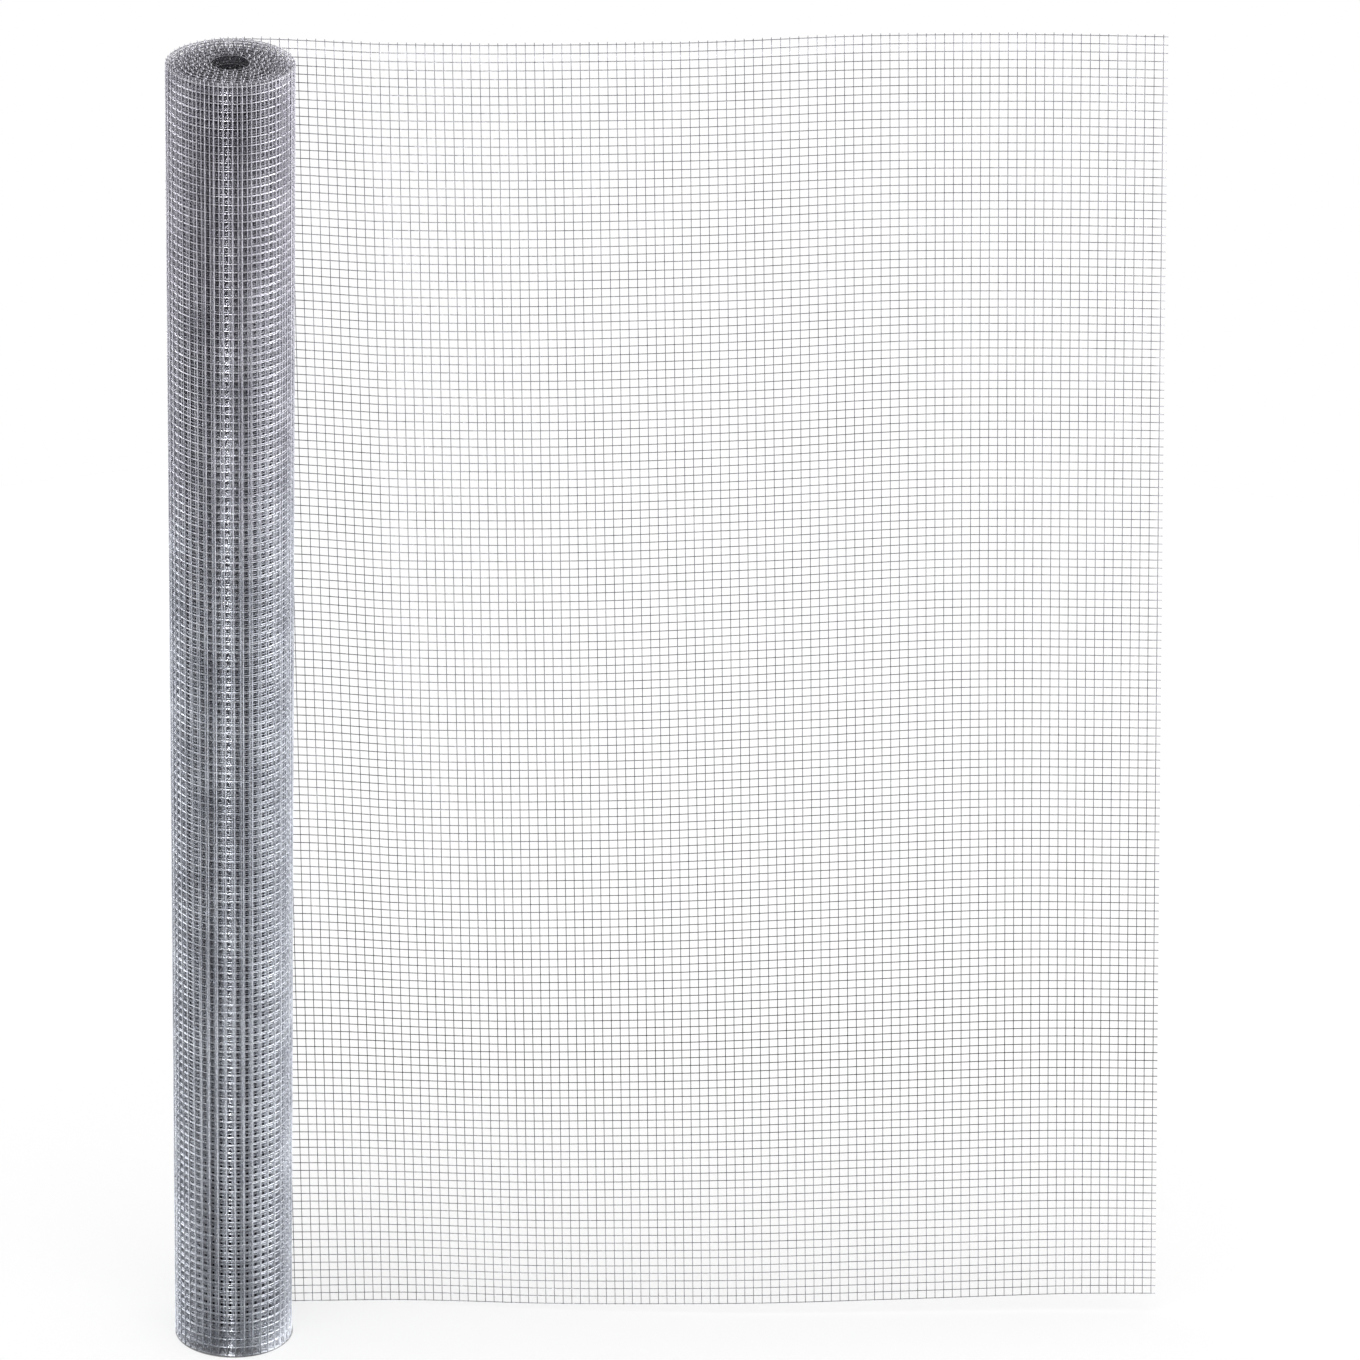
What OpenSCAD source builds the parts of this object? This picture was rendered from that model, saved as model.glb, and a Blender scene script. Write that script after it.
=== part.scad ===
// Roll of welded wire mesh, standing on end, with its free end drawn off as an upright sheet.
// The roll's axis is Z and its lower end stands on z = 0. The sheet runs off along +X, tangent
// to the back of the roll, as the last length of the outermost turn. Millimetres.

/* [Mesh] */
// Width of the mesh, which is the height of the standing roll
mesh_width = 1000; // [400:1:1300]
// Distance from wire to wire, both ways
mesh_pitch = 6.35; // [5:0.05:12.7]
// Thickness of each wire
wire_d = 0.6; // [0.4:0.05:1]
// How far the cross wires run past the lowest line wire
lower_stub = 0.4; // [0.2:0.1:2]

/* [Roll] */
// Bore through the middle of the winding
bore_d = 26.4; // [16:0.1:60]
// Turns wound on the roll
turns = 24; // [6:1:50]
// Clear space between one turn and the next
turn_gap = 0.1; // [0.05:0.05:0.6]

/* [Free end] */
// Cells from the roll's axis to the last cross wire
free_cells = 104; // [20:1:160]
// How far the line wires run past the last cross wire's centre
end_stub = 3.2; // [0.6:0.1:4.8]
// Gap between the roll's curve and the tip of each line wire
seat_gap = 0.3; // [0.05:0.05:0.5]

/* [Hidden] */
$fn = 96;

winding_grey = [0.56, 0.56, 0.60];
wire_grey = [0.72, 0.72, 0.74];

// Each turn is a layer of line wires with a layer of cross wires welded outside it
turn_pitch = 2 * wire_d + turn_gap;
bore_r = bore_d / 2;
roll_r = bore_r + turns * turn_pitch - turn_gap;

// Whole cells across the width, with a stub of the cross wires left at both edges
rows = floor((mesh_width - 2 * lower_stub - wire_d) / mesh_pitch);
highest_line_z = lower_stub + rows * mesh_pitch;

// The two layers of the outermost turn, where it leaves the back of the roll
cross_y = roll_r - wire_d;
line_y = cross_y - wire_d;

// The line wires start where their inner face clears the roll's curve
line_start_x = sqrt(pow(roll_r, 2) - pow(line_y, 2)) + seat_gap;
line_end_x = free_cells * mesh_pitch + end_stub;

// The first cross wire is the first on the pitch that lies wholly on the line wires
first_cell = ceil((line_start_x + wire_d / 2) / mesh_pitch);

// Turn 0 is the outermost. Its cross wires stand out at the ends of the roll as a ring.
function ring_outer(turn) = roll_r - turn * turn_pitch;

// The innermost ring reaches the bore, so that the bore's wall runs from end to end
function ring_inner(turn) = turn == turns - 1 ? bore_r : ring_outer(turn) - wire_d;

// Outline of one end from the bore out: rings up to end_z, with recesses between them
function end_rings(end_z, recess_z) = [
    for (turn = [turns - 1 : -1 : 0])
        each concat(
            [[ring_inner(turn), end_z], [ring_outer(turn), end_z]],
            turn == 0 ? [] : [[ring_outer(turn), recess_z], [ring_inner(turn - 1), recess_z]]
        )
];

function backwards(points) = [for (i = [len(points) - 1 : -1 : 0]) points[i]];

// The winding, as one turned solid with its bore and a ring for each turn on both ends
module wound_roll() {
    color(winding_grey)
        rotate_extrude()
            polygon(concat(
                end_rings(0, lower_stub),
                backwards(end_rings(mesh_width, highest_line_z + wire_d))
            ));
}

// Wires along the sheet, one for each row, as square bars
module line_wires() {
    color(wire_grey)
        for (row = [0 : rows])
            translate([line_start_x, line_y, lower_stub + row * mesh_pitch])
                cube([line_end_x - line_start_x, wire_d, wire_d]);
}

// Upright wires across the whole width, each face to face with every line wire at its weld
module cross_wires() {
    color(wire_grey)
        for (cell = [first_cell : free_cells])
            translate([cell * mesh_pitch - wire_d / 2, cross_y, 0])
                cube([wire_d, wire_d, mesh_width]);
}

wound_roll();
line_wires();
cross_wires();
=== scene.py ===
"""Roll of galvanised welded wire mesh, standing on end with its free end drawn off as a sheet.

Every wire is its own tube. The free end is a gently waving lattice of line wires and cross
wires with a bead of zinc at each weld, and the roll is the same lattice wound into a spiral.
The outer turns are whole. The inner turns have their line wires at both ends of the roll only,
and between them a dark core: the pattern of deeper mesh in painted shade. Metres, in the part's
own frame.
"""

import math

import bpy
import numpy as np
from mathutils import Euler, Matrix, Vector


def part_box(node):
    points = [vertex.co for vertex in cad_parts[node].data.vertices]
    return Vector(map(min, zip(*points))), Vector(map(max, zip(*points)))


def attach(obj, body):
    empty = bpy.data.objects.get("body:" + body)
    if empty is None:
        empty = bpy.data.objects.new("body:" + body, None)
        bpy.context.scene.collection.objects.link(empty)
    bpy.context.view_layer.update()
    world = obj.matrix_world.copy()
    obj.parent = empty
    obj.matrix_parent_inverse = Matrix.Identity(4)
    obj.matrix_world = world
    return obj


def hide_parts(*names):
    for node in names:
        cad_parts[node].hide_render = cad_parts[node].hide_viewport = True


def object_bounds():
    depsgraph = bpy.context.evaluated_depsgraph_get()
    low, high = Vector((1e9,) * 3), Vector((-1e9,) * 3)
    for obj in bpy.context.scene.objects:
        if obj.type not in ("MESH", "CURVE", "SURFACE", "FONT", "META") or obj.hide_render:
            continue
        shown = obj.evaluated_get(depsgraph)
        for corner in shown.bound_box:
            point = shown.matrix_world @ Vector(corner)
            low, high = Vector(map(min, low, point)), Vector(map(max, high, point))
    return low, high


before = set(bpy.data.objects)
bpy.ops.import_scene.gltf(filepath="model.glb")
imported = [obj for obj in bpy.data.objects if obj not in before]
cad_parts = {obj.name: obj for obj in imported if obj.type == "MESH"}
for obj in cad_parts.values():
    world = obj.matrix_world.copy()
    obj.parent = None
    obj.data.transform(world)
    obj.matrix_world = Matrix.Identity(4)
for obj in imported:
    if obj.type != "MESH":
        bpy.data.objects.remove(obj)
cad_box = [list(corner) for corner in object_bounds()]
rng = np.random.default_rng(41)
MM = 0.001

# ---------------------------------------------------------------- sizes, from the frame

line_low, line_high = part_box("line_wires")
cross_low, cross_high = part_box("cross_wires")

# The mesh's pitch, the bore and the clear space between turns are those of the part's source
PITCH = 6.35 * MM
BORE_R = 13.2 * MM
TURN_GAP = 0.1 * MM

WIRE = cross_high.y - cross_low.y
HEIGHT = cross_high.z
ROLL_R = cross_high.y
TURN_PITCH = 2 * WIRE + TURN_GAP
TURNS = round((ROLL_R + TURN_GAP - BORE_R) / TURN_PITCH)

ROWS = round((line_high.z - line_low.z - WIRE) / PITCH)
LOWEST_LINE = line_low.z + WIRE / 2
FREE_CELLS = round((cross_high.x - WIRE / 2) / PITCH)
FREE_END = line_high.x

# Distance from the roll's axis to the middle of each layer of the outermost turn
CROSS_LAYER = ROLL_R - WIRE / 2
LINE_LAYER = ROLL_R - WIRE * 1.5
WELD_LAYER = (CROSS_LAYER + LINE_LAYER) / 2

# How many outer turns are whole, how many of them are finely divided, and how many whole ones
# share a piece after those
WHOLE_TURNS = 9
FINE_TURNS = 2
TURNS_A_PIECE = 4

# How many rows the line wires of the other turns have at each end of the roll, and at the upper
# end of the turns that line the bore
TOP_ROWS = 7
BOTTOM_ROWS = 3
BORE_TURNS = 2
BORE_ROWS = 30

# How finely the wires are divided, along them and round them
SHEET_LINE_POINTS = 54
SHEET_CROSS_POINTS = 48
FINE_SEGMENTS = 48
WHOLE_SEGMENTS = 30
INNER_SEGMENTS = 28
CORE_SEGMENTS = 96
FINE_SIDES = 6
COARSE_SIDES = 4

# How far a bead of zinc reaches across the mesh and through it
BEAD_FLAT = 0.55 * MM
SHEET_BEAD_TALL = 0.7 * MM
WOUND_BEAD_TALL = 0.75 * MM

# Each bead is turned by up to this much, in radians, and its size is within this range
BEAD_TURN = 0.5
BEAD_SIZES = (0.85, 1.2)

# The outermost turn's beads are this much taller at the upper end, from this share of the
# height on and over this share
UPPER_BEAD_EXTRA = 0.45 * MM
TALLER_FROM = 0.5
TALLER_OVER = 0.4

# The cross wires' upper tips stand short of the even height, and vary a little
TIP_SHORT = -1.1 * MM
SHEET_TIP_VARIES = 0.25 * MM
WOUND_TIP_VARIES = 0.12 * MM
TIP_SIDEWAYS = 0.08 * MM

# A wound cross wire's first and last lengths, which keep its tips straight
TIP = 4 * MM

# How far the wound cross wires bow round the roll at mid height, in radians
CROSS_WIRE_BOW = 0.0009

# The dark core reaches this share of a turn into the whole turns, and stops short of the bore's
# lining and of the rows at both ends by these
CORE_TURN_LAP = 0.2
CORE_CLEAR_OF_BORE = 0.5 * MM
CORE_CLEAR_OF_ROWS = 2 * MM


# ---------------------------------------------------------------- mesh helpers


def add_object(name, mesh, material, slot, *replaced):
    """Puts a finished mesh in the scene as a piece that rides on the part's one body."""
    piece = bpy.data.objects.new(name, mesh)
    bpy.context.scene.collection.objects.link(piece)
    mesh.materials.append(material)
    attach(piece, "root")
    if replaced:
        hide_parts(*replaced)


def build_mesh(name, points, faces):
    """A smooth-shaded mesh from an array of points and arrays of faces with 3 or 4 corners."""
    mesh = bpy.data.meshes.new(name)
    corners = np.concatenate([f.ravel() for f in faces])
    sizes = np.concatenate([np.full(len(f), f.shape[1]) for f in faces])
    starts = np.concatenate([[0], np.cumsum(sizes)[:-1]])
    mesh.vertices.add(len(points))
    mesh.vertices.foreach_set("co", points.astype(np.float32).ravel())
    mesh.loops.add(len(corners))
    mesh.loops.foreach_set("vertex_index", corners.astype(np.int32))
    mesh.polygons.add(len(sizes))
    mesh.polygons.foreach_set("loop_start", starts.astype(np.int32))
    mesh.polygons.foreach_set("use_smooth", np.ones(len(sizes), dtype=bool))
    mesh.update(calc_edges=True)
    mesh.validate()
    return mesh


def tubes(paths, out, sides):
    """Points and faces of a round wire along each path.

    paths is (wires, points, 3), and out is a direction for each point that no path follows.
    """
    wires, count = paths.shape[:2]
    along = np.gradient(paths, axis=1)
    along /= np.linalg.norm(along, axis=2, keepdims=True)
    side = np.cross(along, np.broadcast_to(out, paths.shape))
    side /= np.linalg.norm(side, axis=2, keepdims=True)
    up = np.cross(side, along)
    angle = (np.arange(sides) + 0.5) * 2 * math.pi / sides
    ring = (
        side[:, :, None] * np.cos(angle)[:, None] + up[:, :, None] * np.sin(angle)[:, None]
    )
    points = (paths[:, :, None] + ring * (WIRE / 2)).reshape(-1, 3)

    step = np.arange(sides)
    after = (step + 1) % sides
    wall = np.stack([step, after, after + sides, step + sides], axis=1)
    base = (np.arange(wires)[:, None] * count + np.arange(count - 1)).ravel() * sides
    walls = (base[:, None, None] + wall).reshape(-1, 4)

    fan = np.stack([np.zeros(sides - 2), np.arange(1, sides - 1), np.arange(2, sides)], axis=1)
    first = np.arange(wires) * count * sides
    last = first + (count - 1) * sides
    start_caps = (first[:, None, None] + fan[:, ::-1]).reshape(-1, 3)
    end_caps = (last[:, None, None] + fan).reshape(-1, 3)
    return points, [walls, start_caps.astype(int), end_caps.astype(int)]


def joined(parts):
    """Several (points, faces) pairs as one."""
    points, faces, offset = [], [], 0
    for part_points, part_faces in parts:
        points.append(part_points)
        faces += [f + offset for f in part_faces]
        offset += len(part_points)
    return np.concatenate(points), faces


def beads(centres, normals, flat, tall):
    """A bead of zinc with eight faces at each weld: flat across the mesh, tall through it."""
    up = np.array([0.0, 0.0, 1.0])
    side = np.cross(normals, up)
    turn = rng.uniform(-BEAD_TURN, BEAD_TURN, len(centres))[:, None]
    grow = rng.uniform(*BEAD_SIZES, len(centres))[:, None]
    first = side * np.cos(turn) + up * np.sin(turn)
    second = up * np.cos(turn) - side * np.sin(turn)
    reach = [first * flat, second * flat, -first * flat, -second * flat]
    reach += [normals * tall, -normals * tall]
    points = np.stack([centres + r * grow for r in reach], axis=1).reshape(-1, 3)
    belt = np.array([[0, 1], [1, 2], [2, 3], [3, 0]])
    top = np.column_stack([belt, np.full(4, 4)])
    bottom = np.column_stack([belt[:, ::-1], np.full(4, 5)])
    bead = np.concatenate([top, bottom])
    base = np.arange(len(centres)) * 6
    return points, [(base[:, None, None] + bead).reshape(-1, 3)]


# ---------------------------------------------------------------- the mesh's own surface


# How far the free end stands off its plane towards +Y, in mm, as waves along the sheet: how
# many half waves (0 is straight), then how deep all over, rising with height, and at mid height
SHEET_WAVES = [
    (0, -7.0, -4.5, 10.0),
    (1, -7.0, 1.0, -5.0),
    (2, -4.0, -4.0, -6.0),
    (3, 2.0, -0.6, 0.0),
]

# Smaller ripples: how many half waves along and up the sheet, their phase, and how deep in mm
SHEET_RIPPLES = [(5.3, 1.1, 0.9, 0.6), (8.1, 2.3, 0.4, 0.35), (2.0, 8.6, 2.1, 0.3)]

# The sheet stands a little askew: its cross wires lean back to the roll and its rows climb
SHEET_LEAN = 0.0240
SHEET_CLIMB = 0.0230

# The sheet leaves the roll's own shape over this distance, and its cross wires come to lean
# over the same distance, from a little way round the roll
FREED_OVER = 120 * MM
LEANS_FROM = 80 * MM

# The winding is a little wider and looser at its upper end
TOP_R = 46.3 * MM
BOTTOM_R = 43.5 * MM
BORE_FLARE = 1.0 * MM

# The roll's shape from above: how many lobes, their phase, and how deep in mm
LOBES = [(2, 0.6, 0.35), (3, 2.0, 0.2)]

# Places round the roll, in turns from the tangent line at the back
LEFT_SIDE = 0.25
FRONT = 0.5

# The winding takes on its own shape over this share of a turn from the tangent line
TAKES_SHAPE = 0.25

# How unevenly the turns' ends stand, in mm: how far up all do, and how far up and down they go
# at both ends. It goes in waves by turn, and a small wave of its own size and phase is added.
END_RISE = 0.15
END_UNEVEN = 0.12
END_WAVES = 1.9
SMALL_UNEVEN = 0.08
SMALL_WAVES = 0.83
SMALL_PHASE = 1.0

# How much further they go at the upper end, from which turn on, and over how many it grows
TOP_UNEVEN = 0.5
UNEVEN_FROM = 1.5
UNEVEN_OVER = 3

# How far the turns' rows are staggered between the ends, in mm, and how much more on the right,
# where it narrows by a power. It goes in waves by turn, and fades at the ends by a power.
STAGGER = 1.2
RIGHT_STAGGER = 1.3
RIGHT_POWER = 3
STAGGER_WAVES = 0.37
STAGGER_START = 0.074
FADE_POWER = 0.6

# How far the rows stand up in the lowest share of the height, in mm: every turn's, and more in
# every second turn. They come down to the floor over the foot.
LOW_SHARE = 0.3
LOW_RISE = 1.0
ODD_RISE = 1.1
FOOT = 40 * MM

# The cross wires of the outermost turns line up at the front, up to this turn
OUTERMOST_TO = 1.5

# More turns' do so at the upper end: from this share of the height and over this share, and up
# to this turn, fading out over so many more
LINED_UP_FROM = 0.55
LINED_UP_OVER = 0.4
LINED_UP_TO = 5
FADING_OVER = 3

# The spiral ends this much short of a whole number of turns
SPIRAL_STOP = 0.02


def smooth(value):
    """0 up to 0 and 1 from 1, with a soft start and end between them."""
    value = np.clip(value, 0, 1)
    return value * value * (3 - 2 * value)


def loosened(r, z):
    """The radius, at height z, of what is wound at radius r in the frame."""
    outside = BOTTOM_R + (TOP_R - BOTTOM_R) * z / HEIGHT
    inside = BORE_R + BORE_FLARE * smooth(z / HEIGHT)
    return inside + (r - BORE_R) * (outside - inside) / (ROLL_R - BORE_R)


def free_surface(x, z):
    """How far the free end stands off its plane towards +Y, at distance x along it."""
    along = x / FREE_END
    rise = 2 * z / HEIGHT - 1
    belly = np.cos(math.pi * rise / 2)
    depth = 0.0
    for halves, even, rising, middle in SHEET_WAVES:
        swell = np.sin(math.pi * halves * along) if halves else along
        depth = depth + swell * (even + rising * rise + middle * belly)
    for across, up, phase, size in SHEET_RIPPLES:
        depth = depth + size * np.sin(math.pi * (across * along + up * rise / 2) + phase)
    free = smooth(x / FREED_OVER)
    flare = loosened(CROSS_LAYER, z) - CROSS_LAYER
    return free * depth * MM + (1 - free) * flare


def leaning(distance, z):
    """How far a cross wire leans back to the roll, by its distance along the mesh."""
    freed = smooth((distance + LEANS_FROM) / FREED_OVER)
    return -SHEET_LEAN * freed * (z - HEIGHT / 2)


def out_of_round(angle):
    """The winding isn't a perfect circle. All turns share its shape, so that they stay clear."""
    return sum(size * MM * np.sin(lobes * angle + phase) for lobes, phase, size in LOBES)


def wave(value):
    """0 at whole numbers and 1 half way between them."""
    return 0.5 - 0.5 * np.cos(2 * math.pi * value)


def in_shape(turn):
    """0 on the tangent line, and 1 once the winding has taken on its own shape."""
    return np.clip(turn / TAKES_SHAPE, 0, 1)


def odd(turn):
    """0 at the front of the outermost turn, 1 at the front of the next, 0 again, and so on."""
    return wave((turn - FRONT) / 2)


def slip(turn, z):
    """How far each turn's rows stand above their even height.

    It is most in the lowest part of the roll, and very little at the floor.
    """
    growing = smooth((turn - UNEVEN_FROM) / UNEVEN_OVER)
    uneven = END_UNEVEN + TOP_UNEVEN * growing * smooth(z / HEIGHT)
    small = SMALL_UNEVEN * np.sin(turn * SMALL_WAVES + SMALL_PHASE)
    edge = END_RISE + uneven * np.sin(turn * END_WAVES) + small
    rightward = wave(turn - LEFT_SIDE) ** RIGHT_POWER
    swing = np.sin(2 * math.pi * STAGGER_WAVES * (turn - STAGGER_START))
    stagger = (STAGGER + RIGHT_STAGGER * rightward) * swing
    away = np.sin(math.pi * np.clip(z / HEIGHT, 0, 1)) ** FADE_POWER
    low = 1 - smooth(z / (LOW_SHARE * HEIGHT))
    raised = np.maximum(LOW_RISE + stagger, 0) + ODD_RISE * odd(turn)
    above_foot = smooth(z / FOOT)
    return in_shape(turn) * (edge + (stagger * away + raised * low) * above_foot) * MM


def front_shifts():
    """How far each turn's cross wires move round, for the turns to line up at the front."""
    fronts = np.arange(TURNS) + FRONT
    travelled = 2 * math.pi * (CROSS_LAYER * fronts - TURN_PITCH * fronts**2 / 2)
    off = (travelled - travelled[0] + PITCH / 2) % PITCH - PITCH / 2
    return fronts, off


FRONTS, FRONT_SHIFT = front_shifts()


def twisted(angle, z):
    """Where a cross wire that starts at an angle has got to at height z.

    At the front, the two outermost turns line up at the lower end, and they are half a cell
    apart at the upper end. There, the next few turns line up with these two by turns.
    """
    turn = angle / (2 * math.pi)
    radius = CROSS_LAYER - TURN_PITCH * turn
    shift = np.interp(turn, FRONTS, FRONT_SHIFT) - odd(turn) * z / HEIGHT * PITCH / 2
    outermost = 1 - smooth(turn - OUTERMOST_TO)
    upper = smooth((z / HEIGHT - LINED_UP_FROM) / LINED_UP_OVER)
    upper = upper * (1 - smooth((turn - LINED_UP_TO) / FADING_OVER))
    held = outermost + (1 - outermost) * upper
    moved = in_shape(turn) * held * shift - leaning(-angle * CROSS_LAYER, z)
    return angle + moved / radius


def wound(angle, layer, z):
    """A point of the winding. angle grows from the tangent line at the back, round by -X."""
    turn = angle / (2 * math.pi)
    r = loosened(layer - TURN_PITCH * turn, z)
    r = r + out_of_round(angle) * in_shape(turn)
    return np.stack([-r * np.sin(angle), r * np.cos(angle), z + slip(turn, z)], axis=-1)


def wound_normal(angle):
    """The direction out of the roll at an angle of the winding."""
    return np.stack([-np.sin(angle), np.cos(angle), np.zeros_like(angle)], axis=-1)


def cross_angles():
    """The angle of each cross wire in the winding: one every pitch along the spiral."""
    angles, angle = [], 0.0
    while True:
        r = CROSS_LAYER - TURN_PITCH * angle / (2 * math.pi)
        angle += PITCH / r
        if angle > 2 * math.pi * (TURNS - SPIRAL_STOP):
            return np.array(angles)
        angles.append(angle)


# ---------------------------------------------------------------- materials

ZINC_METALLIC = 0.85
ZINC_IOR = 1.6

# How finely the zinc varies, in features per metre
CLOUDS = 38.0
CRYSTALS = 620.0
GRAIN = 900.0
PITS = 2600.0

# Where the three greys of the clouds lie in their noise, and how much the crystals differ
CLOUD_PLACES = (0.32, 0.5, 0.68)
CRYSTAL_GREYS = [(0.0, (0.74, 0.74, 0.75)), (1.0, (1.0, 1.0, 1.0))]
CRYSTAL_CONTRAST = 0.8

# How deep the pits look, and how strongly
PIT_DEPTH = 0.04 * MM
PIT_STRENGTH = 0.25

# Noise keeps mostly to this middle part of 0 to 1
NOISE_LOW = 0.3
NOISE_HIGH = 0.7
NOISE_ROUGHNESS = 0.55

# The cut ends at the top of the roll are this rough, and it starts this far below the top
TIP_ROUGHNESS = 0.48
TIP_DULL_FROM = 5.0 * MM
TIP_DULL_AT = 2.2 * MM

# The mesh painted on the dark core, whose darkness is painted shade: how many upright wires its
# two layers have, the share of a cell that each wire takes, the colours of gap and wire, and how
# far the wires stand out
DEEP_WIRES = (31, 29)
DEEP_WIRE_SHARE = 0.2
DEEP_ROW_SHARE = 0.3
DEEP_PAINTED_SHADE_COLOURS = [(0.0, (0.012, 0.012, 0.015)), (1.0, (0.13, 0.13, 0.15))]
DEEP_RELIEF = 0.5 * MM
DEEP_STRENGTH = 0.6
DEEP_METALLIC = 0.3
DEEP_ROUGHNESS = 0.7


def node(tree, kind, **settings):
    """A new node with its settings."""
    made = tree.nodes.new(kind)
    for key, value in settings.items():
        setattr(made, key, value)
    return made


def feed(tree, socket, source):
    """Gives a socket a number, or the output of another node."""
    if isinstance(source, bpy.types.NodeSocket):
        tree.links.new(source, socket)
    else:
        socket.default_value = source


def calculated(tree, operation, *values):
    """The result of a Math node."""
    made = node(tree, "ShaderNodeMath", operation=operation)
    for socket, value in zip(made.inputs, values):
        feed(tree, socket, value)
    return made.outputs["Value"]


def mapped(tree, value, start, end, low=0.0, high=1.0, kind="LINEAR"):
    """The value from start to end spread over low to high."""
    made = node(tree, "ShaderNodeMapRange", interpolation_type=kind)
    names = ("Value", "From Min", "From Max", "To Min", "To Max")
    for name, source in zip(names, (value, start, end, low, high)):
        feed(tree, made.inputs[name], source)
    return made.outputs["Result"]


def blended(tree, factor, first, second):
    """The number first where the factor is 0, and second where it is 1."""
    made = node(tree, "ShaderNodeMix", data_type="FLOAT")
    for name, source in (("Factor", factor), ("A", first), ("B", second)):
        feed(tree, made.inputs[name], source)
    return made.outputs["Result"]


def multiplied(tree, factor, first, second):
    """The first colour times the second, by a factor."""
    made = node(tree, "ShaderNodeMix", data_type="RGBA", blend_type="MULTIPLY")
    made.inputs["Factor"].default_value = factor
    tree.links.new(first, made.inputs["A"])
    tree.links.new(second, made.inputs["B"])
    return made.outputs["Result"]


def axes(tree, vector):
    """The X, Y and Z of a vector."""
    made = node(tree, "ShaderNodeSeparateXYZ")
    tree.links.new(vector, made.inputs["Vector"])
    return made.outputs


def coordinates(tree, kind):
    """The place on the object, or the direction in the world."""
    return node(tree, "ShaderNodeTexCoord").outputs[kind]


def noise(tree, coords, scale, detail):
    """Soft noise, so many features to the metre."""
    made = node(tree, "ShaderNodeTexNoise")
    made.inputs["Scale"].default_value = scale
    made.inputs["Detail"].default_value = detail
    made.inputs["Roughness"].default_value = NOISE_ROUGHNESS
    tree.links.new(coords, made.inputs["Vector"])
    return made.outputs["Fac"]


def ramp(tree, value, stops):
    """The colour for a value, from stops of (value, colour) from low to high."""
    made = node(tree, "ShaderNodeValToRGB")
    colours = made.color_ramp.elements
    colours[0].position = stops[0][0]
    colours[0].color = (*stops[0][1], 1)
    colours[1].position = stops[-1][0]
    colours[1].color = (*stops[-1][1], 1)
    for place, colour in stops[1:-1]:
        colours.new(place).color = (*colour, 1)
    tree.links.new(value, made.inputs["Fac"])
    return made.outputs["Color"]


def new_material(name):
    """A material, its node tree and its Principled shader."""
    material = bpy.data.materials.new(name)
    material.use_nodes = True
    tree = material.node_tree
    return material, tree, tree.nodes["Principled BSDF"]


def add_bump(tree, shader, height, strength, distance):
    """Makes the surface look uneven by a height."""
    bump = node(tree, "ShaderNodeBump")
    bump.inputs["Strength"].default_value = strength
    bump.inputs["Distance"].default_value = distance
    tree.links.new(height, bump.inputs["Height"])
    tree.links.new(bump.outputs["Normal"], shader.inputs["Normal"])


def zinc(name, greys, rough, *shades):
    """Hot-dip zinc: crystals of slightly different greys, cloudy patches and fine pitting.

    greys are its dark, middle and light patches, and rough is its lowest and highest roughness.
    Each of the shades is a list of painted shade that changes the colour with height. With any,
    the upper ends of the wires are dull.
    """
    material, tree, shader = new_material(name)
    shader.inputs["Metallic"].default_value = ZINC_METALLIC
    shader.inputs["IOR"].default_value = ZINC_IOR
    coords = coordinates(tree, "Object")

    crystals = node(tree, "ShaderNodeTexVoronoi")
    crystals.inputs["Scale"].default_value = CRYSTALS
    tree.links.new(coords, crystals.inputs["Vector"])
    crystal_grey = node(tree, "ShaderNodeSeparateColor")
    tree.links.new(crystals.outputs["Color"], crystal_grey.inputs["Color"])
    facets = ramp(tree, crystal_grey.outputs["Red"], CRYSTAL_GREYS)

    clouds = noise(tree, coords, CLOUDS, detail=4.0)
    base = ramp(tree, clouds, list(zip(CLOUD_PLACES, greys)))
    colour = multiplied(tree, CRYSTAL_CONTRAST, base, facets)
    grain = noise(tree, coords, GRAIN, detail=2.0)
    roughness = mapped(tree, grain, NOISE_LOW, NOISE_HIGH, *rough)
    if shades:
        roughness = dull_at_tips(tree, coords, roughness)
    for heights in shades:
        colour = painted_shade_by_height(tree, coords, colour, heights)
    tree.links.new(colour, shader.inputs["Base Color"])
    tree.links.new(roughness, shader.inputs["Roughness"])
    pits = noise(tree, coords, PITS, detail=2.0)
    add_bump(tree, shader, pits, PIT_STRENGTH, PIT_DEPTH)
    return material


def painted_shade_by_height(tree, coords, colour, heights):
    """The colour times a painted shade that changes with height. heights has (z, shade) from low
    to high.
    """
    low, high = heights[0][0], heights[-1][0]
    place = mapped(tree, axes(tree, coords)["Z"], low, high)
    stops = [((z - low) / (high - low), shade) for z, shade in heights]
    return multiplied(tree, 1.0, colour, ramp(tree, place, stops))


def dull_at_tips(tree, coords, roughness):
    """The roughness, with the wire's cut ends at the top of the roll made rougher."""
    z = axes(tree, coords)["Z"]
    tip = mapped(tree, z, HEIGHT - TIP_DULL_FROM, HEIGHT - TIP_DULL_AT)
    return blended(tree, tip, roughness, TIP_ROUGHNESS)


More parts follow.
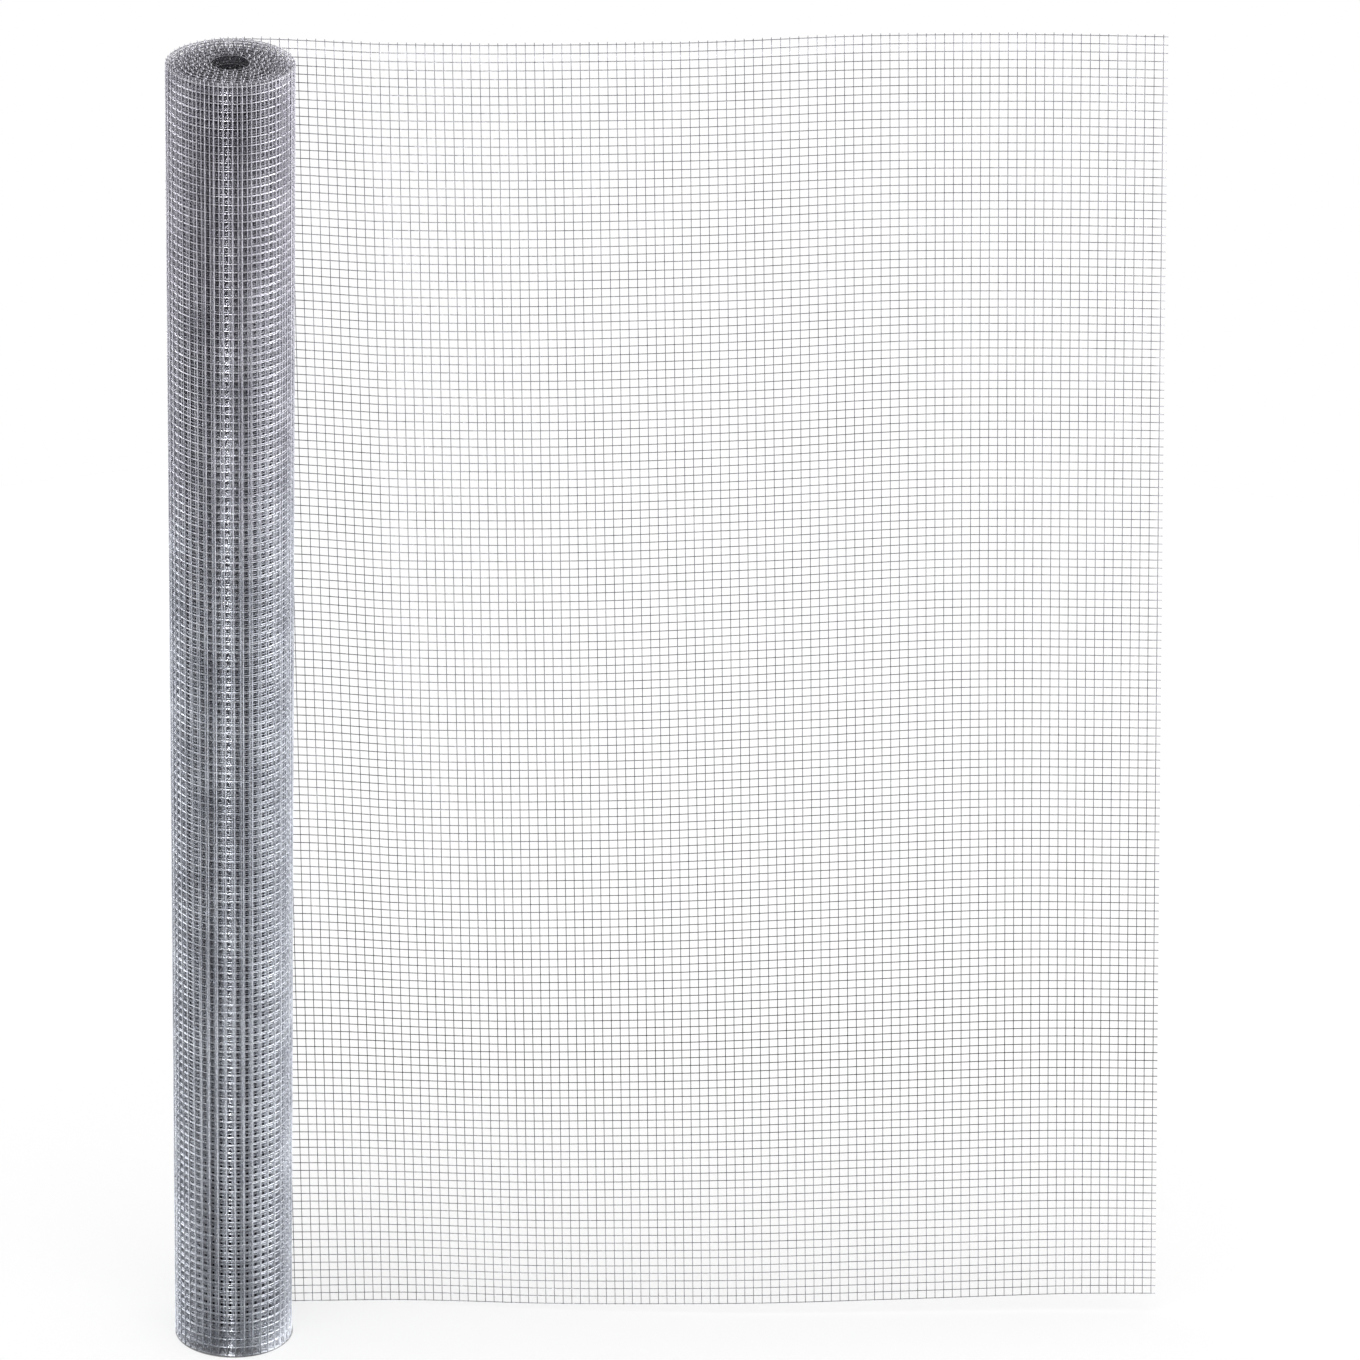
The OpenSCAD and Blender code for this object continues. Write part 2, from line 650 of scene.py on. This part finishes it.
def deep_mesh_painted_shade(name):
    """The mesh beyond the modelled turns in painted shade: dim lines of wire over darkness, on
    the core.
    """
    material, tree, shader = new_material(name)
    shader.inputs["Metallic"].default_value = DEEP_METALLIC
    shader.inputs["Roughness"].default_value = DEEP_ROUGHNESS
    place = axes(tree, coordinates(tree, "Object"))
    around = calculated(tree, "ARCTAN2", place["X"], place["Y"])
    wires = lines(tree, place["Z"], 1 / PITCH, DEEP_ROW_SHARE)
    for count in DEEP_WIRES:
        uprights = lines(tree, around, count / (2 * math.pi), DEEP_WIRE_SHARE)
        wires = calculated(tree, "MAXIMUM", wires, uprights)
    tree.links.new(ramp(tree, wires, DEEP_PAINTED_SHADE_COLOURS), shader.inputs["Base Color"])
    add_bump(tree, shader, wires, DEEP_STRENGTH, DEEP_RELIEF)
    return material


def lines(tree, value, per_unit, share):
    """1 on a line that repeats per_unit times for each unit of value, and 0 between."""
    part = calculated(tree, "FRACT", calculated(tree, "MULTIPLY", value, per_unit))
    return calculated(tree, "LESS_THAN", part, share)


# Painted shade, with a tint, on the wire by height: the roll is a little lighter and bluer below
# and a little redder and darker above, its deeper turns are dimmer, the sheet is darker below and
# darkest at a fifth of its height, and the bore is darker with depth
WOUND_PAINTED_SHADE = [
    (0.0, (1.13, 1.17, 1.15)),
    (0.25 * HEIGHT, (1.07, 1.11, 1.09)),
    (0.55 * HEIGHT, (1.03, 1.06, 1.05)),
    (0.90 * HEIGHT, (1.06, 1.04, 1.04)),
    (HEIGHT, (1.06, 1.04, 1.04)),
]
# Painted shade for the deeper turns: dimmer than the outer turns, and most at the upper end
DEEPER_PAINTED_SHADE = [
    (0.0, (0.92, 0.95, 0.94)),
    (0.55 * HEIGHT, (0.86, 0.89, 0.88)),
    (0.88 * HEIGHT, (0.75, 0.74, 0.75)),
    (HEIGHT, (0.71, 0.70, 0.71)),
]
# Painted shade on the free end's wires: darker below, darkest at a fifth of the height
SHEET_PAINTED_SHADE = [
    (0.0, (0.66, 0.66, 0.68)),
    (0.10 * HEIGHT, (0.48, 0.48, 0.50)),
    (0.165 * HEIGHT, (0.31, 0.31, 0.33)),
    (0.205 * HEIGHT, (0.11, 0.11, 0.12)),
    (0.225 * HEIGHT, (0.11, 0.11, 0.12)),
    (0.26 * HEIGHT, (0.23, 0.23, 0.25)),
    (0.33 * HEIGHT, (0.36, 0.36, 0.38)),
    (0.55 * HEIGHT, (0.66, 0.66, 0.69)),
    (HEIGHT, (0.90, 0.90, 0.94)),
]
# Painted shade in the bore, darker with depth
BORE_PAINTED_SHADE = [
    (HEIGHT - 26 * MM, (0.12, 0.12, 0.12)),
    (HEIGHT - 12 * MM, (0.5, 0.5, 0.5)),
    (HEIGHT - 4 * MM, (0.8, 0.8, 0.8)),
]

# Painted shade at the upper ends of the turns: the top row's wires are darkened as if in each
# other's shade, and the cut ends of the cross wires are painted lighter, standing out of it
WOUND_RIM_PAINTED_SHADE = [
    (HEIGHT - 5 * MM, (1.0, 1.0, 1.0)),
    (HEIGHT - 2.8 * MM, (0.85, 0.85, 0.85)),
    (HEIGHT - 1.8 * MM, (0.58, 0.58, 0.58)),
    (HEIGHT - 1.0 * MM, (0.75, 0.75, 0.75)),
]
DEEPER_RIM_PAINTED_SHADE = [
    (HEIGHT - 5 * MM, (1.0, 1.0, 1.0)),
    (HEIGHT - 2.8 * MM, (0.55, 0.55, 0.55)),
    (HEIGHT - 1.8 * MM, (0.66, 0.66, 0.66)),
    (HEIGHT - 1.0 * MM, (1.2, 1.2, 1.2)),
]

# The dark, middle and light greys of each finish, and its lowest and highest roughness
SHEET_GREYS = [(0.22, 0.22, 0.235), (0.30, 0.30, 0.315), (0.39, 0.39, 0.405)]
SHEET_WELD_GREYS = [(0.25, 0.25, 0.27), (0.33, 0.33, 0.35), (0.44, 0.44, 0.46)]
WOUND_GREYS = [(0.56, 0.56, 0.62), (0.68, 0.68, 0.74), (0.80, 0.80, 0.86)]
# The inner turns' greys are darker than the outer turns', a painted shade for turns deep in the
# roll
INNER_SHADED_GREYS = [(0.34, 0.34, 0.37), (0.42, 0.42, 0.45), (0.50, 0.50, 0.54)]
WELD_GREYS = [(0.34, 0.34, 0.37), (0.44, 0.44, 0.47), (0.58, 0.58, 0.61)]
SHEET_ROUGH = (0.24, 0.42)
WOUND_ROUGH = (0.24, 0.36)
DULL_ROUGH = (0.3, 0.5)

WIRE_ZINC = zinc("sheet_zinc", SHEET_GREYS, SHEET_ROUGH, SHEET_PAINTED_SHADE)
SHEET_WELD_ZINC = zinc("sheet_weld_zinc", SHEET_WELD_GREYS, DULL_ROUGH, SHEET_PAINTED_SHADE)
WOUND_ZINC = zinc("wound_zinc", WOUND_GREYS, WOUND_ROUGH, WOUND_PAINTED_SHADE, WOUND_RIM_PAINTED_SHADE)
# A shaded copy of the outer turns' zinc, with painted shade, for the turns deeper in the roll
DEEPER_SHADED_ZINC = zinc("deeper_shaded_zinc", WOUND_GREYS, WOUND_ROUGH, DEEPER_PAINTED_SHADE, DEEPER_RIM_PAINTED_SHADE)
# A darker copy with painted shade, for the inner turns' ends and the bore's lining
INNER_SHADED_ZINC = zinc("inner_shaded_zinc", INNER_SHADED_GREYS, DULL_ROUGH, BORE_PAINTED_SHADE, DEEPER_RIM_PAINTED_SHADE)
WELD_ZINC = zinc("weld_zinc", WELD_GREYS, DULL_ROUGH)
DEEP_MESH_PAINTED_SHADE = deep_mesh_painted_shade("deep_mesh_painted_shade")


# ---------------------------------------------------------------- the free end

ROW_Z = LOWEST_LINE + np.arange(ROWS + 1) * PITCH
CELL_X = np.arange(0, FREE_CELLS + 1) * PITCH
OUT = np.array([0.0, 1.0, 0.0])

# The line wires run straight from the tangent line to here
FIRST_BEND = 12 * MM


def sheet_point(x, z, layer):
    """A point of the free end, at distance x along the mesh and height z across it."""
    return np.stack([x + leaning(x, z), layer + free_surface(x, z), z + SHEET_CLIMB * x], axis=-1)


def make_free_line_wires():
    """The line wires of the free end, from the tangent line to their cut ends."""
    x = np.concatenate([[0.0], np.linspace(FIRST_BEND, FREE_END, SHEET_LINE_POINTS)])
    x, z = np.meshgrid(x, ROW_Z)
    paths = sheet_point(x, z, LINE_LAYER)
    mesh = build_mesh("free_end_line_wires", *tubes(paths, OUT, FINE_SIDES))
    add_object(mesh.name, mesh, WIRE_ZINC, "wire", "line_wires")


def make_free_cross_wires():
    """The cross wires of the free end, from its lower edge to their cut upper tips."""
    z = np.linspace(0, HEIGHT, SHEET_CROSS_POINTS)
    z, x = np.meshgrid(z, CELL_X)
    paths = sheet_point(x, z, CROSS_LAYER)
    paths[:, -1, 2] += rng.normal(TIP_SHORT, SHEET_TIP_VARIES, len(CELL_X))
    mesh = build_mesh("free_end_cross_wires", *tubes(paths, OUT, FINE_SIDES))
    add_object(mesh.name, mesh, WIRE_ZINC, "wire", "cross_wires")


def make_free_welds():
    """A bead on every crossing of the free end."""
    x, z = np.meshgrid(CELL_X[1:], ROW_Z)
    centres = sheet_point(x.ravel(), z.ravel(), WELD_LAYER)
    normals = np.broadcast_to(OUT, centres.shape)
    points, faces = beads(centres, normals, BEAD_FLAT, SHEET_BEAD_TALL)
    mesh = build_mesh("free_end_welds", points, faces)
    add_object(mesh.name, mesh, SHEET_WELD_ZINC, "wire")


# ---------------------------------------------------------------- the winding


def turn_line_wires(turn, row_z, segments, sides):
    """The line wires of one turn, at the given rows."""
    angle = (turn + np.linspace(0, 1, segments + 1)) * 2 * math.pi
    angle, z = np.meshgrid(angle, row_z)
    paths = wound(angle, LINE_LAYER, z)
    return tubes(paths, wound_normal(angle), sides)


def make_whole_turns():
    """The outer turns' line wires: the finely divided turns one by one, the others in groups."""
    groups = [[turn] for turn in range(FINE_TURNS)]
    for first in range(FINE_TURNS, WHOLE_TURNS, TURNS_A_PIECE):
        groups.append(range(first, min(first + TURNS_A_PIECE, WHOLE_TURNS)))
    for number, group in enumerate(groups, 1):
        fine = group[0] < FINE_TURNS
        segments = FINE_SEGMENTS if fine else WHOLE_SEGMENTS
        sides = FINE_SIDES if fine else COARSE_SIDES
        finish = WOUND_ZINC if fine else DEEPER_SHADED_ZINC
        parts = [turn_line_wires(turn, ROW_Z, segments, sides) for turn in group]
        mesh = build_mesh(f"wound_line_wires_{number}", *joined(parts))
        add_object(mesh.name, mesh, finish, "winding", "wound_roll")


def make_inner_ends():
    """The inner turns' line wires, as far down as they show from each end and in the bore."""
    parts = []
    for turn in range(WHOLE_TURNS, TURNS):
        top = BORE_ROWS if turn >= TURNS - BORE_TURNS else TOP_ROWS
        rows = np.concatenate([ROW_Z[:BOTTOM_ROWS], ROW_Z[-top:]])
        parts.append(turn_line_wires(turn, rows, INNER_SEGMENTS, COARSE_SIDES))
    mesh = build_mesh("wound_line_ends", *joined(parts))
    add_object(mesh.name, mesh, INNER_SHADED_ZINC, "winding", "wound_roll")


def make_wound_cross_wires():
    """The cross wires of every turn: the outer turns', the inner turns' and the bore's."""
    angles = cross_angles()
    count = len(angles)
    quarter = HEIGHT / 4
    z = np.array([0, TIP, quarter, 2 * quarter, 3 * quarter, HEIGHT - TIP, HEIGHT])
    bow = rng.normal(0, CROSS_WIRE_BOW, count)[:, None] * np.sin(z / HEIGHT * math.pi)
    angle = angles[:, None] + bow
    z = np.broadcast_to(z, angle.shape).copy()
    angle = twisted(angle, z)
    z[:, -1] += rng.normal(TIP_SHORT, WOUND_TIP_VARIES, count)
    paths = wound(angle, CROSS_LAYER, z)
    paths[:, -1, :2] += rng.normal(0, TIP_SIDEWAYS, (count, 2))
    paths[:, :, 2] = np.maximum(paths[:, :, 2], 0)
    turns = angles / (2 * math.pi)
    outer = turns < FINE_TURNS
    lining = turns > TURNS - BORE_TURNS
    for name, chosen, finish in (
        ("outer_cross_wires", outer, WOUND_ZINC),
        ("inner_cross_wires", ~outer & ~lining, DEEPER_SHADED_ZINC),
        ("bore_cross_wires", lining, INNER_SHADED_ZINC),
    ):
        out = wound_normal(angle[chosen])
        mesh = build_mesh(name, *tubes(paths[chosen], out, FINE_SIDES))
        add_object(mesh.name, mesh, finish, "winding", "wound_roll")


def make_wound_welds():
    """Beads on the two outermost turns, which are the ones that show."""
    angles = cross_angles()
    angles = angles[angles < 2 * math.pi * FINE_TURNS]
    angle, z = np.meshgrid(angles, ROW_Z)
    angle, z = twisted(angle, z).ravel(), z.ravel()
    centres = wound(angle, WELD_LAYER, z)
    outermost = (angle < 2 * math.pi)[:, None]
    upper = smooth((z / HEIGHT - TALLER_FROM) / TALLER_OVER)[:, None]
    tall = WOUND_BEAD_TALL + UPPER_BEAD_EXTRA * outermost * upper
    points, faces = beads(centres, wound_normal(angle), BEAD_FLAT, tall)
    mesh = build_mesh("wound_welds", points, faces)
    add_object(mesh.name, mesh, WELD_ZINC, "winding", "wound_roll")


def make_core():
    """What lies between the whole turns and the bore's lining, as one plain ring of painted
    shade.
    """
    outer = LINE_LAYER - TURN_PITCH * (WHOLE_TURNS - CORE_TURN_LAP)
    inner = BORE_R + BORE_FLARE + TURN_PITCH * BORE_TURNS + CORE_CLEAR_OF_BORE
    low = ROW_Z[BOTTOM_ROWS - 1] + CORE_CLEAR_OF_ROWS
    high = ROW_Z[-TOP_ROWS] - CORE_CLEAR_OF_ROWS
    step = np.arange(CORE_SEGMENTS)
    around = step * 2 * math.pi / CORE_SEGMENTS
    corners = []
    for r, z in ((inner, low), (outer, low), (outer, high), (inner, high)):
        height = np.full(CORE_SEGMENTS, z)
        corners.append(np.stack([r * np.cos(around), r * np.sin(around), height], axis=-1))
    points = np.stack(corners, axis=1).reshape(-1, 3)
    first = step * 4
    after = (step + 1) % CORE_SEGMENTS * 4
    faces = []
    for a, b in ((0, 3), (3, 2), (2, 1), (1, 0)):
        faces.append(np.stack([first + a, after + a, after + b, first + b], axis=1))
    mesh = build_mesh("winding_core", points, [np.concatenate(faces)[:, ::-1]])
    mesh.polygons.foreach_set("use_smooth", np.zeros(len(mesh.polygons), dtype=bool))
    add_object(mesh.name, mesh, DEEP_MESH_PAINTED_SHADE, "winding", "wound_roll")


make_free_line_wires()
make_free_cross_wires()
make_free_welds()
make_whole_turns()
make_inner_ends()
make_wound_cross_wires()
make_wound_welds()
make_core()


# ---------------------------------------------------------------- floor, light and camera

# How bright the world is for plain light, and the studio in reflections at its walls and
# ceiling. The walls end over this span of the direction's Z.
AMBIENT = 0.6
WALL_LIGHT = 2.75
CEILING_LIGHT = 0.15
WALL_TOP = (0.45, 0.8)

# How bright the studio is in reflections, by azimuth in degrees from the viewer's side: pale
# walls at both sides and behind, and a dark front
STUDIO = [
    (-180, 0.40),
    (-140, 0.64),
    (-80, 0.72),
    (-66, 0.58),
    (-54, 0.11),
    (28, 0.11),
    (46, 1.06),
    (100, 0.98),
    (130, 1.00),
    (180, 0.40),
]

# A round floor, in metres. Its paint takes shadows, and its glow for the camera, which starts at
# the roll's foot, makes it white.
FLOOR_RADIUS = 1.6
FLOOR_CORNERS = 64
FLOOR_PAINT = 0.42
FLOOR_GLOW = 0.62

# In reflections the floor has painted shade near the roll, over these distances from its axis.
# Its share of the studio's light is least on the sheet's side, a painted shade of the sheet, and
# the sides meet this far from the axis.
SHADED_FLOOR = (0.04, 0.45)
PLAIN_SIDE = 0.98
SHEET_SIDE = 0.50
SIDES_MEET = 0.1

# The lamps: azimuth and elevation in degrees, distance, width and height in metres, power in
# watts, and whether each shows in reflections only or else gives plain light only
LAMPS = [
    ("key_strip", -12, 28, 8.0, 0.5, 5.0, 460, True),
    ("right_wall", 80, 15, 7.0, 4.6, 4.6, 350, True),
    ("left_wall", -110, 15, 7.0, 4.6, 4.6, 185, True),
    ("overhead", 0, 80, 8.0, 6.0, 6.0, 300, False),
]
LIT_POINT = Vector((0.2, 0.0, 0.5))

# The camera: its lens and sensor in mm, how far it stands from what it faces, and its angles in
# degrees: down on the object, round from the front, and turned about its own line of sight
LENS = 295.7
SENSOR = 36.0
CAMERA_DISTANCE = 8.0
CAMERA_TARGET = Vector((0.3190, ROLL_R, 0.5082))
CAMERA_DOWN = 25.18
CAMERA_ROUND = -0.7
CAMERA_ROLL = 0.93

WHITE = (1, 1, 1, 1)


def studio_light(tree, direction):
    """How bright the studio is in reflections, towards a direction from the roll's axis."""
    place = axes(tree, direction)
    front = calculated(tree, "MULTIPLY", place["Y"], -1.0)
    azimuth = calculated(tree, "ARCTAN2", place["X"], front)
    share = mapped(tree, azimuth, -math.pi, math.pi)
    stops = [((degrees + 180) / 360, (value, value, value)) for degrees, value in STUDIO]
    around = ramp(tree, share, stops)

    unit = node(tree, "ShaderNodeVectorMath", operation="NORMALIZE")
    tree.links.new(direction, unit.inputs[0])
    rise = axes(tree, unit.outputs["Vector"])["Z"]
    walls = mapped(tree, rise, *WALL_TOP, WALL_LIGHT, CEILING_LIGHT, "SMOOTHSTEP")
    return calculated(tree, "MULTIPLY", around, walls)


def floor_shader(tree):
    """White for the camera, with the object's shadow, and the studio's floor in reflections."""
    rays = node(tree, "ShaderNodeLightPath")
    place = coordinates(tree, "Object")
    length = node(tree, "ShaderNodeVectorMath", operation="LENGTH")
    tree.links.new(place, length.inputs[0])
    distance = length.outputs["Value"]

    paint = node(tree, "ShaderNodeBsdfDiffuse")
    paint.inputs["Color"].default_value = (FLOOR_PAINT, FLOOR_PAINT, FLOOR_PAINT, 1)
    glow = node(tree, "ShaderNodeEmission")
    glow.inputs["Color"].default_value = WHITE
    foot = (BOTTOM_R - 2 * WIRE, BOTTOM_R)
    clear = mapped(tree, distance, *foot, 0.0, FLOOR_GLOW, "SMOOTHSTEP")
    strength = calculated(tree, "MULTIPLY", rays.outputs["Is Camera Ray"], clear)
    tree.links.new(strength, glow.inputs["Strength"])
    both = node(tree, "ShaderNodeAddShader")
    tree.links.new(paint.outputs["BSDF"], both.inputs[0])
    tree.links.new(glow.outputs["Emission"], both.inputs[1])

    mirrored = node(tree, "ShaderNodeEmission")
    # Painted shade in the floor's reflections: dimmer near the roll and on the sheet's side
    side = mapped(tree, axes(tree, place)["X"], -SIDES_MEET, SIDES_MEET, PLAIN_SIDE, SHEET_SIDE)
    shaded = mapped(tree, distance, *SHADED_FLOOR, side, 1.0, "SMOOTHSTEP")
    lit = calculated(tree, "MULTIPLY", studio_light(tree, place), shaded)
    tree.links.new(lit, mirrored.inputs["Strength"])
    either = node(tree, "ShaderNodeMixShader")
    tree.links.new(rays.outputs["Is Glossy Ray"], either.inputs["Fac"])
    tree.links.new(both.outputs["Shader"], either.inputs[1])
    tree.links.new(mirrored.outputs["Emission"], either.inputs[2])
    return either.outputs["Shader"]


def make_floor():
    """A plain round floor under the middle of the object."""
    mesh = bpy.data.meshes.new("floor")
    centre = (cad_box[0][0] + cad_box[1][0]) / 2
    corners = []
    for corner in range(FLOOR_CORNERS):
        angle = corner * 2 * math.pi / FLOOR_CORNERS
        x = centre + FLOOR_RADIUS * math.cos(angle)
        corners.append((x, FLOOR_RADIUS * math.sin(angle), 0))
    mesh.from_pydata(corners, [], [tuple(range(FLOOR_CORNERS))])
    floor = bpy.data.objects.new("floor", mesh)
    bpy.context.scene.collection.objects.link(floor)

    material, tree, unused = new_material("floor")
    tree.nodes.remove(unused)
    surface = tree.nodes["Material Output"].inputs["Surface"]
    tree.links.new(floor_shader(tree), surface)
    mesh.materials.append(material)


def make_world():
    """White for the camera. In reflections, a studio whose front, by the viewer, is dark."""
    world = bpy.data.worlds.new("studio")
    bpy.context.scene.world = world
    world.use_nodes = True
    tree = world.node_tree
    background = tree.nodes["Background"]
    background.inputs["Color"].default_value = WHITE
    rays = node(tree, "ShaderNodeLightPath").outputs
    reflected = studio_light(tree, coordinates(tree, "Generated"))
    unseen = blended(tree, rays["Is Glossy Ray"], AMBIENT, reflected)
    strength = blended(tree, rays["Is Camera Ray"], unseen, 1.0)
    tree.links.new(strength, background.inputs["Strength"])


def softbox(name, azimuth, elevation, distance, width, height, power, mirrored):
    """An area lamp that faces the lit point. Azimuth 0 is the viewer's side."""
    data = bpy.data.lights.new(name, "AREA")
    data.shape = "RECTANGLE"
    data.size = width
    data.size_y = height
    data.energy = power
    lamp = bpy.data.objects.new(name, data)
    a, e = math.radians(azimuth), math.radians(elevation)
    toward = Vector((math.sin(a) * math.cos(e), -math.cos(a) * math.cos(e), math.sin(e)))
    lamp.location = LIT_POINT + toward * distance
    lamp.rotation_mode = "QUATERNION"
    lamp.rotation_quaternion = toward.to_track_quat("Z", "Y")
    lamp.visible_glossy = mirrored
    lamp.visible_diffuse = not mirrored
    bpy.context.scene.collection.objects.link(lamp)


def make_camera():
    """A long lens in front of the sheet's middle, looking down on it."""
    data = bpy.data.cameras.new("camera")
    data.lens = LENS
    data.sensor_width = SENSOR
    camera = bpy.data.objects.new("camera", data)
    aim = (math.radians(90 - CAMERA_DOWN), 0, math.radians(CAMERA_ROUND))
    turn = Euler(aim, "XYZ").to_matrix()
    turn = turn @ Euler((0, 0, math.radians(CAMERA_ROLL)), "XYZ").to_matrix()
    camera.rotation_euler = turn.to_euler()
    camera.location = CAMERA_TARGET + turn @ Vector((0, 0, CAMERA_DISTANCE))
    bpy.context.scene.collection.objects.link(camera)
    bpy.context.scene.camera = camera


make_floor()
make_world()
for lamp_values in LAMPS:
    softbox(*lamp_values)
make_camera()

bpy.context.scene.view_settings.view_transform = "Standard"
